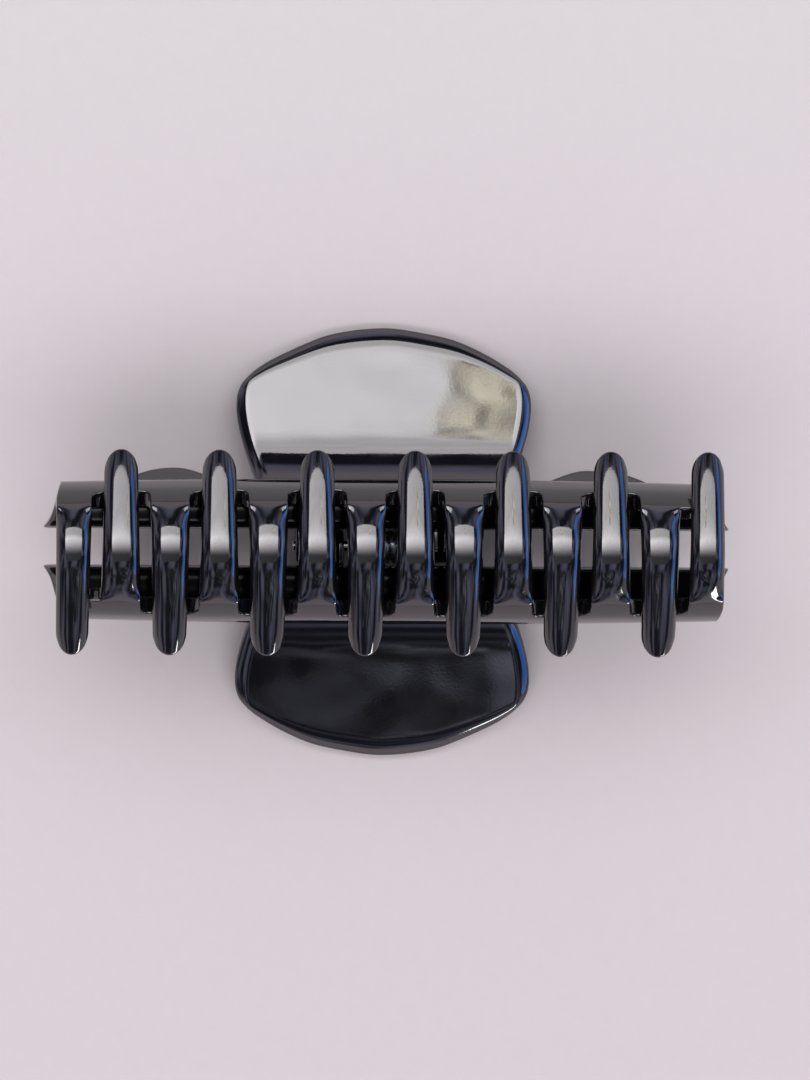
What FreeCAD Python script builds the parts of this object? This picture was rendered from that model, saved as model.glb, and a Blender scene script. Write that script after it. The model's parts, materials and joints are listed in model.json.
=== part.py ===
import FreeCAD, Part
import math
import os

import Sketcher
from FreeCAD import Rotation, Vector

# A claw clip: two identical black mouldings that turn on one pin and are held shut by a torsion spring.
# It stands on the rims of its two handles with its teeth up. X runs along the clip and the pin, Y goes from
# the front jaw to the rear jaw, and Z is up. The origin is on the ground under the middle of the clip.

SIZES = (
    ("body_radius", 9.4, "outside radius of the closed round body"),
    ("body_rise", 25.745, "the body's axis above the ground"),
    ("wall", 2.4, "thickness of the moulding"),
    ("clip_length", 90.4, "length over the cusps"),
    ("bar_reach", 43.7, "middle of the clip to the end of a bar"),
    ("far_reach", 42.2, "the same at the other end, under the other jaw's last tooth"),
    ("cusp_inset", 2.0, "middle plane to the point of a cusp"),
    ("tooth_pitch", 12.8, "from tooth to tooth along one jaw"),
    ("tooth_count", 7, "teeth on each jaw"),
    ("first_tooth", 3.25, "pitches from the middle of the clip to a jaw's first tooth"),
    ("tooth_reach", 13.7, "middle plane to the tip of a tooth"),
    ("tooth_start", 5.64, "middle plane to where a tooth leaves the bar"),
    ("tooth_slope", 15.0, "fall of a tooth's upper face towards its tip, in degrees"),
    ("tooth_underslope", 14.0, "fall of its lower face, in degrees"),
    ("tooth_root_width", 4.9, "width of a tooth where it leaves the bar"),
    ("tooth_tip_width", 4.2, "width of a tooth where its round nose begins"),
    ("end_tooth_width", 3.9, "width of the tooth at the end of a bar"),
    ("tooth_crown", 0.7, "rounding of a tooth's upper edges"),
    ("slot_floor", 4.7, "slot floors above the body's axis"),
    ("slot_corner", 1.1, "rounding of the slot corners"),
    ("shoulder", 1.6, "the bar at full height beyond the last tooth"),
    ("waist_drop", 9.0, "the waist below the body's axis"),
    ("waist_gap", 2.35, "middle plane to the inner face at the waist"),
    ("waist_round", 2.0, "hollow between the bar and the handle"),
    ("flare_radius", 11.7, "sweep from the waist out to the handle"),
    ("handle_tilt", 12.0, "fall of the handle towards its rim, in degrees"),
    ("handle_reach", 28.4, "middle plane to the handle's rim"),
    ("handle_half_width", 19.65, "middle of the handle to its widest place"),
    ("handle_end_radius", 29.0, "round of the handle's rim"),
    ("handle_corner", 5.0, "round of the handle's two corners"),
    ("handle_neck", 16.0, "middle of the handle to its side at the hem"),
    ("handle_edge", 0.8, "rounding of the handle's edge"),
    ("hem_reach", 10.4, "middle plane to the outermost hem"),
    ("notch_radius", 2.05, "round notch between the handle and a side lobe"),
    ("lobe_place", 28.3, "middle of the clip to the middle of a side lobe"),
    ("lobe_radius", 18.0, "round of a side lobe's hem"),
    ("lobe_drop", 18.9, "lowest point of a side lobe below the body's axis"),
    ("hollow_radius", 16.0, "hollow hem between a side lobe and a cusp"),
    ("hollow_place", 50.0, "middle of the clip to the middle of that hollow"),
    ("hinge_drop", 14.0, "the pin below the body's axis"),
    ("pin_diameter", 1.5, "hinge pin"),
    ("pin_length", 24.6, "hinge pin"),
    ("pin_play", 0.05, "gap all round the pin in its knuckles"),
    ("knuckle_diameter", 4.6, "hinge knuckle"),
    ("knuckle_width", 3.0, "hinge knuckle along the pin"),
    ("outer_knuckle", 9.0, "middle of the clip to the near side of a jaw's outer knuckle"),
    ("inner_knuckle", 5.5, "middle of the clip to the near side of a jaw's inner knuckle"),
    ("web_foot", 5.83, "middle plane to the lower end of a knuckle's web, inside the wall"),
    ("web_head", 3.79, "middle plane to its upper end"),
    ("wire_diameter", 0.9, "spring wire"),
    ("coil_radius", 1.9, "the pin's axis to the middle of the wire"),
    ("coil_pitch", 0.96, "from turn to turn"),
    ("coil_turns", 8, "whole turns of the coil"),
    ("leg_length", 9.0, "spring leg"),
    ("leg_slope", 58.0, "fall of a leg along the handle, in degrees"),
    ("clearance", 9.0, "how far the cutting outlines reach past the moulding"),
)

START, END, CENTRE = 1, 2, 3
UP = Vector(0, 0, 1)

# Lengths closer than this are the same, in mm.
TOUCHING = 0.01
# How an edge is told from its neighbours when edges are rounded.
EDGE_SAMPLES = 7
LONGEST_ROUNDED = 1.0


class Driven:
    """A length worked out from the sheet: its value now, and the rule that keeps it up to date."""

    def __init__(self, value, rule):
        self.value = value
        self.rule = rule

    def combined(self, other, sign, value):
        rule = other.rule if isinstance(other, Driven) else str(other)
        return Driven(value, f"({self.rule} {sign} {rule})")

    def __add__(self, other):
        return self.combined(other, "+", self.value + plain(other))

    def __sub__(self, other):
        return self.combined(other, "-", self.value - plain(other))

    def __mul__(self, other):
        return self.combined(other, "*", self.value * plain(other))

    def __truediv__(self, other):
        return self.combined(other, "/", self.value / plain(other))

    def __neg__(self):
        return Driven(-self.value, f"(-{self.rule})")


def plain(thing):
    return thing.value if isinstance(thing, Driven) else thing


# The middle plane, where the pin's axis lies.
MIDDLE = Driven(0.0, "0 mm")

doc = FreeCAD.newDocument("claw_clip")
sheet = doc.addObject("Spreadsheet::Sheet", "sizes")
s = {}
for row, (alias, amount, meaning) in enumerate(SIZES, start=1):
    sheet.set(f"A{row}", meaning)
    sheet.set(f"B{row}", str(amount))
    sheet.setAlias(f"B{row}", alias)
    s[alias] = Driven(float(amount), f"sizes.{alias}")
doc.recompute()


def polar(centre, radius, degrees):
    angle = math.radians(degrees)
    return centre + Vector(math.cos(angle), math.sin(angle), 0) * radius


def bearing(a, b):
    """The direction from a to b, in degrees."""
    return math.degrees(math.atan2(b.y - a.y, b.x - a.x))


class Outline:
    """A sketch on one of a body's own origin planes."""

    def __init__(self, body, plane, name, lift=None):
        self.sketch = body.newObject("Sketcher::SketchObject", name)
        support = next(o for o in body.Origin.OriginFeatures if o.Role == plane)
        self.sketch.AttachmentSupport = [(support, "")]
        self.sketch.MapMode = "FlatFace"
        if lift:
            self.sketch.setExpression("AttachmentOffset.Base.z", lift.rule)

    def line(self, start, end):
        return self.sketch.addGeometry(Part.LineSegment(start, end), False)

    def arc(self, centre, radius, first, last):
        circle = Part.Circle(centre, UP, radius)
        arc = Part.ArcOfCircle(circle, math.radians(first), math.radians(last))
        return self.sketch.addGeometry(arc, False)

    def bind(self, kind, *args):
        return self.sketch.addConstraint(Sketcher.Constraint(kind, *args))

    def measure(self, kind, *args, to, unit=""):
        """A dimension that follows the sheet. Angles are given in degrees."""
        value = math.radians(to.value) if unit else to.value
        self.sketch.setExpression(f"Constraints[{self.bind(kind, *args, value)}]", to.rule + unit)

    def hold(self, geometry, point, across=None, up=None):
        """Holds one or both coordinates of a point."""
        if across is not None:
            self.measure("DistanceX", geometry, point, to=across)
        if up is not None:
            self.measure("DistanceY", geometry, point, to=up)

    def loop(self, corners):
        """A closed chain through corners (across, up). A third entry (radius, bulge) makes the edge that
        leaves that corner an arc: bulge 1 turns anticlockwise, -1 clockwise."""
        edges = []
        places = [Vector(c[0].value, c[1].value, 0) for c in corners]
        for here, (corner, start) in enumerate(zip(corners, places)):
            end = places[(here + 1) % len(places)]
            if len(corner) == 2:
                edges.append((self.line(start, end), START, END))
                continue
            radius, bulge = corner[2]
            half = (end - start) * 0.5
            rise = math.sqrt(max(radius.value**2 - half.Length**2, 0))
            across = Vector(-half.y, half.x, 0).normalize() * rise * bulge
            centre = start + half + across
            first, last = (start, end) if bulge > 0 else (end, start)
            arc = self.arc(centre, radius.value, bearing(centre, first), bearing(centre, last))
            self.measure("Radius", arc, to=radius)
            edges.append((arc, START, END) if bulge > 0 else (arc, END, START))
        for here, corner in enumerate(corners):
            edge, start, _ = edges[here]
            before, _, end = edges[here - 1]
            self.bind("Coincident", before, end, edge, start)
            self.hold(edge, start, corner[0], corner[1])


def shape_with(body, kind, name, outline, length=None, **settings):
    """A pad or pocket of an outline, its length bound to the sheet."""
    made = body.newObject(f"PartDesign::{kind}", name)
    made.Profile = outline.sketch
    if length is None:
        made.Type = "ThroughAll"
    else:
        made.setExpression("Length", length.rule)
    for setting, value in settings.items():
        setattr(made, setting, value)
    return made


def draw_section(body):
    """The jaw's section, tooth to handle: two chains of tangent lines and arcs, one wall apart."""
    outline = Outline(body, "YZ_Plane", "section")
    axis = Vector(0, s["body_rise"].value, 0)
    radius, wall = s["body_radius"].value, s["wall"].value
    sweep, hollow = s["flare_radius"].value, s["waist_round"].value
    flare_across = s["waist_gap"] + s["wall"] + s["flare_radius"]
    waist_height = s["body_rise"] - s["waist_drop"]
    flare = Vector(flare_across.value, waist_height.value, 0)
    blank_end = s["handle_reach"] + s["clearance"]

    # The hollow touches the round body from outside and the sweep from inside.
    gap = axis.distanceToPoint(flare)
    along = ((radius + hollow) ** 2 - (sweep - hollow) ** 2 + gap**2) / (2 * gap)
    aside = math.sqrt((radius + hollow) ** 2 - along**2)
    toward = (flare - axis) / gap
    waist = axis + toward * along + Vector(toward.y, -toward.x, 0) * aside
    hollow_end = bearing(flare, waist) % 360
    flare_end = 270 - s["handle_tilt"].value
    tilt = math.radians(s["handle_tilt"].value)

    chains = []
    for inset, slope in ((0, s["tooth_slope"].value), (wall, s["tooth_underslope"].value)):
        top = polar(axis, radius - inset, 90 + slope)
        run = s["tooth_reach"].value + top.x
        tip = top - Vector(run, run * math.tan(math.radians(slope)), 0)
        rise_end = polar(flare, sweep + inset, flare_end)
        reach = blank_end.value - polar(flare, sweep, flare_end).x
        tooth = outline.line(tip, top)
        bar = outline.arc(axis, radius - inset, bearing(axis, waist), 90 + slope)
        neck = outline.arc(waist, hollow + inset, bearing(waist, axis), hollow_end)
        curve = outline.arc(flare, sweep + inset, hollow_end, flare_end)
        handle = outline.line(rise_end, rise_end + Vector(reach, -reach * math.tan(tilt), 0))
        outline.bind("Tangent", tooth, END, bar, END)
        outline.bind("Tangent", bar, START, neck, START)
        outline.bind("Tangent", neck, END, curve, START)
        outline.bind("Tangent", curve, END, handle, START)
        chains.append((tooth, bar, neck, curve, handle))
    upper, lower = chains
    for over, under in zip(upper[1:4], lower[1:4]):
        outline.bind("Coincident", under, CENTRE, over, CENTRE)
    tooth, bar, neck, curve, handle = upper
    outline.bind("PointOnObject", bar, CENTRE, -2)
    outline.hold(bar, CENTRE, up=s["body_rise"])
    outline.hold(curve, CENTRE, across=flare_across, up=waist_height)
    outline.measure("Radius", bar, to=s["body_radius"])
    outline.measure("Radius", lower[1], to=s["body_radius"] - s["wall"])
    outline.measure("Radius", neck, to=s["waist_round"])
    outline.measure("Radius", curve, to=s["flare_radius"])
    outline.measure("Angle", tooth, to=s["tooth_slope"], unit=" * 1 deg")
    outline.measure("Angle", lower[0], to=s["tooth_underslope"], unit=" * 1 deg")
    outline.measure("Angle", handle, to=-s["handle_tilt"], unit=" * 1 deg")
    outline.bind("Parallel", handle, lower[-1])
    ends = []
    for place, point in ((0, START), (-1, END)):
        over, under = upper[place], lower[place]
        edge = outline.line(outline.sketch.getPoint(over, point), outline.sketch.getPoint(under, point))
        outline.bind("Coincident", edge, START, over, point)
        outline.bind("Coincident", edge, END, under, point)
        ends.append(edge)
    outline.bind("Vertical", ends[0])
    outline.bind("Perpendicular", ends[1], handle)
    outline.hold(tooth, START, across=-s["tooth_reach"])
    outline.hold(handle, END, across=blank_end)
    return outline


def tooth_side(middle, side, tip_width, root_width, root):
    """Corners up one side of a tooth, seen from above, from beyond its tip to root. side is 1 for +X."""
    nose = tip_width / 2
    tip = -s["tooth_reach"]
    return [
        (middle, tip - s["clearance"]),
        (middle, tip, (nose, side)),
        (middle + nose * side, tip + nose),
        (middle + root_width / 2 * side, root),
    ]


def gap_between(left_side, right_side):
    """Closes the gap between two tooth sides: up the left tooth, across, and down the right one."""
    down = []
    for here in range(len(right_side) - 1, -1, -1):
        corner = right_side[here][:2]
        arc_before = here > 0 and len(right_side[here - 1]) == 3
        if arc_before:
            radius, bulge = right_side[here - 1][2]
            corner = (*corner, (radius, -bulge))
        down.append(corner)
    return left_side + down


def cut_teeth(body):
    """Cuts the comb: gaps from above, then rounded slots through the bar from behind."""
    pitch = s["tooth_pitch"]
    first = -(pitch * s["first_tooth"])
    last = first + pitch * (s["tooth_count"] - 1)
    root = s["tooth_start"]
    full = (s["tooth_tip_width"], s["tooth_root_width"])
    narrow = (s["end_tooth_width"], s["end_tooth_width"])
    beyond = s["clip_length"] / 2 + s["clearance"]

    gap = Outline(body, "XY_Plane", "tooth_gap", lift=s["body_rise"])
    left = tooth_side(first, 1, *full, root)
    right = tooth_side(first + pitch, -1, *full, root)
    gap.loop(gap_between(left, right))
    tooth_gap = shape_with(body, "Pocket", "cut_tooth_gap", gap, Reversed=True)

    slot = Outline(body, "XZ_Plane", "slot")
    corner = s["slot_corner"]
    floor = s["body_rise"] + s["slot_floor"]
    ceiling = s["body_rise"] + s["body_radius"] + s["clearance"]
    near = first + s["tooth_root_width"] / 2
    far = first + pitch - s["tooth_root_width"] / 2
    slot.loop(
        [
            (near, ceiling),
            (near, floor + corner, (corner, 1)),
            (near + corner, floor),
            (far - corner, floor, (corner, 1)),
            (far, floor + corner),
            (far, ceiling),
        ]
    )
    slot_cut = shape_with(body, "Pocket", "cut_slot", slot)

    row = body.newObject("PartDesign::LinearPattern", "comb")
    row.Originals = [tooth_gap, slot_cut]
    row.Direction = (next(o for o in body.Origin.OriginFeatures if o.Role == "X_Axis"), [""])
    row.setExpression("Length", (pitch * (s["tooth_count"] - 2)).rule)
    row.setExpression("Occurrences", "sizes.tooth_count - 1")
    body.Tip = row

    near_end = Outline(body, "XY_Plane", "near_end", lift=s["body_rise"])
    side = tooth_side(first, -1, *narrow, s["body_radius"] + s["clearance"])
    near_end.loop([(-beyond, side[0][1]), (-beyond, side[-1][1])] + gap_between([], side))
    shape_with(body, "Pocket", "cut_near_end", near_end, Reversed=True)

    far_end = Outline(body, "XY_Plane", "far_end", lift=s["body_rise"])
    side = tooth_side(last, 1, *full, root)
    far_end.loop(side + [(beyond, root), (beyond, side[0][1])])
    shape_with(body, "Pocket", "cut_far_end", far_end, Reversed=True)

    open_slot = Outline(body, "XZ_Plane", "open_slot")
    near = last + s["tooth_root_width"] / 2 + s["shoulder"]
    open_slot.loop(
        [
            (near, ceiling),
            (near, floor + corner, (corner, 1)),
            (near + corner, floor),
            (beyond, floor),
            (beyond, ceiling),
        ]
    )
    shape_with(body, "Pocket", "cut_open_slot", open_slot)


def trim_ends(body):
    """Cuts both ends to their slanting cusps, seen from above."""
    waist = s["waist_gap"] + s["wall"]
    tip = s["clip_length"] / 2
    aside = s["clearance"] + s["body_radius"]
    beyond = tip + s["clearance"]
    for name, side, reach in (("near_trim", -1, s["bar_reach"]), ("far_trim", 1, s["far_reach"])):
        trim = Outline(body, "XY_Plane", name, lift=-s["wall"])
        trim.loop(
            [
                (reach * side, aside),
                (reach * side, s["body_radius"]),
                (s["bar_reach"] * side, waist),
                (tip * side, s["cusp_inset"]),
                (tip * side, -aside),
                (beyond * side, -aside),
                (beyond * side, aside),
            ]
        )
        shape_with(body, "Pocket", f"cut_{name}", trim, Reversed=True)


def trim_hem(body):
    """Cuts the wavy hem beside the handle, seen from the front: a notch, a lobe and a hollow."""
    hem = Outline(body, "XZ_Plane", "hem")
    ground = -s["wall"]
    beyond = s["clip_length"] / 2 + s["clearance"]
    notch_radius, lobe_radius = s["notch_radius"].value, s["lobe_radius"].value
    hollow_radius = s["hollow_radius"].value
    lobe_height = s["body_rise"] - s["lobe_drop"] + s["lobe_radius"]
    lobe = Vector(s["lobe_place"].value, lobe_height.value, 0)

    def beside(across, radius):
        """The centre of an arc at that place that touches the lobe from outside."""
        return Vector(across, lobe.y - math.sqrt((lobe_radius + radius) ** 2 - (lobe.x - across) ** 2), 0)

    notch = beside(s["handle_neck"].value + notch_radius, notch_radius)
    hollow = beside(s["hollow_place"].value, hollow_radius)
    low = Vector(s["handle_neck"].value, ground.value, 0)
    out = Vector(beyond.value, ground.value, 0)
    hem_end = hollow.y + math.sqrt(hollow_radius**2 - (beyond.value - hollow.x) ** 2)
    corner = Vector(beyond.value, hem_end, 0)
    side = hem.line(low, polar(notch, notch_radius, 180))
    notch_arc = hem.arc(notch, notch_radius, bearing(notch, lobe), 180)
    lobe_arc = hem.arc(lobe, lobe_radius, bearing(lobe, notch) % 360, bearing(lobe, hollow) % 360)
    hollow_arc = hem.arc(hollow, hollow_radius, bearing(hollow, corner), bearing(hollow, lobe))
    end = hem.line(corner, out)
    base = hem.line(out, low)
    hem.bind("Tangent", side, END, notch_arc, END)
    hem.bind("Tangent", notch_arc, START, lobe_arc, START)
    hem.bind("Tangent", lobe_arc, END, hollow_arc, END)
    hem.bind("Coincident", hollow_arc, START, end, START)
    hem.bind("Coincident", end, END, base, START)
    hem.bind("Coincident", base, END, side, START)
    hem.bind("Vertical", side)
    hem.bind("Vertical", end)
    hem.hold(side, START, s["handle_neck"], ground)
    hem.hold(base, START, beyond, ground)
    hem.hold(lobe_arc, CENTRE, s["lobe_place"], lobe_height)
    hem.hold(hollow_arc, CENTRE, across=s["hollow_place"])
    hem.measure("Radius", notch_arc, to=s["notch_radius"])
    hem.measure("Radius", lobe_arc, to=s["lobe_radius"])
    hem.measure("Radius", hollow_arc, to=s["hollow_radius"])
    cut = shape_with(body, "Pocket", "cut_hem", hem, length=s["hem_reach"])
    both = body.newObject("PartDesign::Mirrored", "both_hems")
    both.Originals = [cut]
    both.MirrorPlane = (next(o for o in body.Origin.OriginFeatures if o.Role == "YZ_Plane"), [""])
    body.Tip = both


def trim_handle(body):
    """Cuts the handle's outline from above: two straight sides, two round corners and a bowed rim."""
    plan = Outline(body, "XY_Plane", "handle_plan", lift=-s["wall"])
    neck, hem = s["handle_neck"], s["hem_reach"]
    round_, corner_round = s["handle_end_radius"], s["handle_corner"]
    beyond = s["clip_length"] / 2 + s["clearance"]
    out = s["handle_reach"] + s["clearance"] * 2
    middle = Vector(0, s["handle_reach"].value - round_.value, 0)
    across = s["handle_half_width"].value - corner_round.value
    up = middle.y + math.sqrt((round_.value - corner_round.value) ** 2 - across**2)
    sides = []
    for side in (-1, 1):
        foot = Vector(neck.value * side, hem.value, 0)
        corner = Vector(across * side, up, 0)
        # The side line touches the corner's circle.
        reach = foot.distanceToPoint(corner)
        swing = math.degrees(math.acos(corner_round.value / reach))
        touch = bearing(corner, foot) + swing * side
        rim = bearing(middle, corner)
        first, last = (touch, rim) if side > 0 else (rim, touch)
        arc = plan.arc(corner, corner_round.value, first, last)
        line = plan.line(foot, polar(corner, corner_round.value, touch))
        plan.bind("Tangent", line, END, arc, START if side > 0 else END)
        plan.hold(line, START, neck * side, hem)
        plan.measure("Radius", arc, to=corner_round)
        plan.hold(arc, CENTRE, across=(s["handle_half_width"] - corner_round) * side)
        sides.append((line, arc))
    (left_line, left_arc), (right_line, right_arc) = sides
    right_rim = bearing(middle, Vector(across, up, 0))
    rim = plan.arc(middle, round_.value, right_rim, 180 - right_rim)
    plan.bind("Tangent", rim, START, right_arc, END)
    plan.bind("Tangent", rim, END, left_arc, START)
    plan.bind("PointOnObject", rim, CENTRE, -2)
    plan.hold(rim, CENTRE, up=s["handle_reach"] - round_)
    plan.measure("Radius", rim, to=round_)
    frame = [(-beyond, hem), (-beyond, out), (beyond, out), (beyond, hem)]
    places = [Vector(-neck.value, hem.value, 0)]
    places += [Vector(a.value, b.value, 0) for a, b in frame]
    places += [Vector(neck.value, hem.value, 0)]
    edges = [plan.line(a, b) for a, b in zip(places, places[1:])]
    plan.bind("Coincident", edges[0], START, left_line, START)
    for one, following, (a, b) in zip(edges, edges[1:], frame):
        plan.bind("Coincident", one, END, following, START)
        plan.hold(following, START, a, b)
    plan.bind("Coincident", edges[-1], END, right_line, START)
    depth = s["body_rise"] - s["waist_drop"] + s["wall"]
    shape_with(body, "Pocket", "cut_handle_plan", plan, length=depth, Reversed=True)


def add_knuckles(body):
    """Two hinge knuckles, round eyes on webs from the sweep's inner face, and one bore through both."""
    eye = s["knuckle_diameter"] / 2
    axis = s["body_rise"] - s["hinge_drop"]
    for name, place in (("inner_knuckle", s["inner_knuckle"]), ("outer_knuckle", -s["outer_knuckle"])):
        start = place if place.value > 0 else place - s["knuckle_width"]
        web = Outline(body, "YZ_Plane", f"{name}_outline", lift=start)
        web.loop(
            [
                (MIDDLE, axis + eye, (eye, 1)),
                (-eye, axis, (eye, 1)),
                (MIDDLE, axis - eye),
                (s["web_foot"], axis - eye),
                (s["web_head"], axis + eye),
            ]
        )
        shape_with(body, "Pad", name, web, length=s["knuckle_width"])
    bore = Outline(body, "YZ_Plane", "bore")
    radius = s["pin_diameter"] / 2 + s["pin_play"]
    hole = bore.sketch.addGeometry(Part.Circle(Vector(0, axis.value, 0), UP, radius.value), False)
    bore.bind("PointOnObject", hole, CENTRE, -2)
    bore.hold(hole, CENTRE, up=axis)
    bore.measure("Radius", hole, to=radius)
    shape_with(body, "Pocket", "cut_bore", bore, SideType="Symmetric")


def samples(edge):
    """A few points along an edge, its ends among them."""
    step = (edge.LastParameter - edge.FirstParameter) / (EDGE_SAMPLES - 1)
    return [edge.valueAt(edge.FirstParameter + step * count) for count in range(EDGE_SAMPLES)]


def round_edges(body, name, radius, wanted):
    """Rounds those edges of the body so far whose points all suit wanted()."""
    doc.recompute()
    base = body.Tip
    picked = []
    for count, edge in enumerate(base.Shape.Edges, start=1):
        points = samples(edge)
        straight = edge.Curve.TypeId == "Part::GeomLine"
        along_clip = straight and abs(points[0].x - points[-1].x) > LONGEST_ROUNDED
        if not along_clip and all(wanted(point) for point in points):
            picked.append(f"Edge{count}")
    fillet = body.newObject("PartDesign::Fillet", name)
    fillet.Base = (base, picked)
    fillet.setExpression("Radius", radius.rule)
    print(body.Label, name, len(picked), "edges")


def on_tooth_top(point):
    """Whether a point lies on the outer face of a tooth, clear of the bar."""
    axis_height, radius = s["body_rise"].value, s["body_radius"].value
    rise = point.z - axis_height
    slope = math.radians(90 + s["tooth_slope"].value)
    if math.atan2(rise, point.y) < slope:
        off = math.hypot(point.y, rise) - radius
    else:
        off = point.y * math.cos(slope) + rise * math.sin(slope) - radius
    on_face = abs(off) < TOUCHING
    return on_face and rise > s["slot_floor"].value and point.y < s["tooth_start"].value + TOUCHING


def on_handle(point):
    return point.y > s["hem_reach"].value - TOUCHING


def make_jaw(name):
    body = doc.addObject("PartDesign::Body", name)
    body.Label = name
    section = draw_section(body)
    shape_with(body, "Pad", "moulding", section, length=s["clip_length"], SideType="Symmetric")
    cut_teeth(body)
    trim_ends(body)
    trim_hem(body)
    trim_handle(body)
    add_knuckles(body)
    round_edges(body, "tooth_crowns", s["tooth_crown"], on_tooth_top)
    round_edges(body, "handle_edges", s["handle_edge"], on_handle)
    return body


def make_pin():
    pin = doc.addObject("Part::Cylinder", "hinge_pin")
    pin.Label = "hinge_pin"
    pin.setExpression("Radius", (s["pin_diameter"] / 2).rule)
    pin.setExpression("Height", s["pin_length"].rule)
    pin.Placement.Rotation = Rotation(Vector(0, 1, 0), 90)
    pin.setExpression("Placement.Base.x", (-s["pin_length"] / 2).rule)
    pin.setExpression("Placement.Base.z", (s["body_rise"] - s["hinge_drop"]).rule)
    return pin


def make_spring():
    """A close coil round the pin. Each end of the wire runs straight on, down one handle's inner face."""
    turns = s["coil_turns"] + s["leg_slope"] / 180
    length = s["coil_pitch"] * turns
    axis_height = s["body_rise"] - s["hinge_drop"]
    helix = doc.addObject("Part::Helix", "coil_line")
    helix.setExpression("Pitch", s["coil_pitch"].rule)
    helix.setExpression("Height", length.rule)
    helix.setExpression("Radius", s["coil_radius"].rule)
    first_turn = Rotation(Vector(1, 0, 0), 90 - s["leg_slope"].value)
    along_pin = Rotation(Vector(0, 1, 0), Vector(0, 0, 1), Vector(1, 0, 0), "ZXY")
    foot = Vector(-length.value / 2, 0, axis_height.value)
    helix.Placement = FreeCAD.Placement(foot, first_turn.multiply(along_pin))
    doc.recompute()

    coil = helix.Shape.Edges[0]
    slope = math.radians(s["leg_slope"].value)
    leg = Vector(0, math.cos(slope), -math.sin(slope)) * s["leg_length"].value
    rear_start, front_start = coil.valueAt(coil.FirstParameter), coil.valueAt(coil.LastParameter)
    rear_end = rear_start + leg
    front_end = front_start + Vector(0, -leg.y, leg.z)
    rear_leg = Part.LineSegment(rear_end, rear_start).toShape()
    front_leg = Part.LineSegment(front_start, front_end).toShape()
    wire = Part.Circle(rear_end, rear_start - rear_end, s["wire_diameter"].value / 2)
    path = Part.Wire([rear_leg, coil, front_leg])
    spring = doc.addObject("Part::Feature", "torsion_spring")
    spring.Label = "torsion_spring"
    spring.Shape = path.makePipeShell([Part.Wire(wire.toShape())], True, True)
    area = math.pi * (s["wire_diameter"].value / 2) ** 2
    print("spring", round(spring.Shape.Volume, 2), "mm3 of", round(area * path.Length, 2))
    return spring


rear_jaw = make_jaw("rear_jaw")
front_jaw = make_jaw("front_jaw")
front_jaw.Placement.Rotation = Rotation(Vector(0, 0, 1), 180)
pin = make_pin()
spring = make_spring()
doc.recompute()
pieces = (rear_jaw, front_jaw, pin, spring)
for made in doc.Objects:
    if "Invalid" in made.State or "Error" in made.State:
        raise RuntimeError(f"{made.Name} failed: {made.State}")
os.makedirs("parts", exist_ok=True)
for piece in pieces:
    if piece.Shape.isNull() or not piece.Shape.isValid():
        raise RuntimeError(f"{piece.Label} has no valid shape")
    piece.Shape.exportStep(f"parts/{piece.Label}.step")
    print(piece.Label, round(piece.Shape.Volume, 1), len(piece.Shape.Solids), piece.Shape.BoundBox)
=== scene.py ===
# %% [markdown]
# # A claw clip
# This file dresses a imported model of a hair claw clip. The clip is two black mouldings, which are the same
# part turned half way round, a pin they turn on, and a coil spring round the pin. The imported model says
# where everything is. Here each moulding gets a smooth mesh of its own, the pin and the spring get theirs,
# and everything gets its finish.

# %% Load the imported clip
import json
import math

import bmesh
import bpy
import numpy as np
from mathutils import Matrix, Vector


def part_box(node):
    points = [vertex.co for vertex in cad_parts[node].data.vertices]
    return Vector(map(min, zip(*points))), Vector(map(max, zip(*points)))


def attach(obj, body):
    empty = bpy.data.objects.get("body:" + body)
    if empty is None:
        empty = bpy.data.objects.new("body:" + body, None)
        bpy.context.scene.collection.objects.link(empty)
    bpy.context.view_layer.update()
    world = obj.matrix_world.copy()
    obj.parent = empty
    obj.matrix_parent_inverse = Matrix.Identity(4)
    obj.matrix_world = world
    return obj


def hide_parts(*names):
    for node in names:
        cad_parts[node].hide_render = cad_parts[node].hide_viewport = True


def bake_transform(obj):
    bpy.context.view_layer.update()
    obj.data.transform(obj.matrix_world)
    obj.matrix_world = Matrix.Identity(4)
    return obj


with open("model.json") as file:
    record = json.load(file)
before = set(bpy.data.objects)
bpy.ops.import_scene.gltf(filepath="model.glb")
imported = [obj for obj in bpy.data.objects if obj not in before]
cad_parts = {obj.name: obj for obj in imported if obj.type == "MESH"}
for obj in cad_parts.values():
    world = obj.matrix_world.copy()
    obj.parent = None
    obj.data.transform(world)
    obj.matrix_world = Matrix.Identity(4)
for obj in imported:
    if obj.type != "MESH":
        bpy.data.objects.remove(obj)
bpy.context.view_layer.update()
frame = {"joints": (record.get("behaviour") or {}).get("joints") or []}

# %% [markdown]
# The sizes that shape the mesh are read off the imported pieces: how far the teeth and the handle reach, how
# high the body stands, where the pin runs. The few that no box can tell, such as the body's radius and the
# wall, are written here in millimetres. Smoothing pulls every tip in a little, so the reaches get a few
# tenths more than the box says.

# %% Sizes of the clip
MM = 0.001
jaw_low, jaw_high = (Vector(corner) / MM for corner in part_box("rear_jaw"))
hinge = frame["joints"][0]
pin_height = hinge["pos_m"][2] / MM
tooth_reach = -jaw_low.y + 0.3
handle_reach = jaw_high.y + 0.45
cusp_reach = jaw_high.x + 1.0
body_radius = 9.4
body_height = jaw_high.z - body_radius
wall = 2.4
waist_height = body_height - 9.0
waist_gap = 2.35
sweep_radius = 11.7
waist_round = 2.0
tooth_pitch = 12.8
tooth_places = [(number - 3.25) * tooth_pitch for number in range(7)]
print("body axis at", round(body_height, 2), "pin at", round(pin_height, 2), "teeth at", tooth_places)

# %% [markdown]
# ## The camera
# The clip lies upside down and is seen from almost straight above, a little from the left and from behind.
# A long lens from far away keeps the two handles, which lie low, as large as the teeth, which stand high.
# The camera is made before anything else, because every later choice is judged through it.

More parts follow.
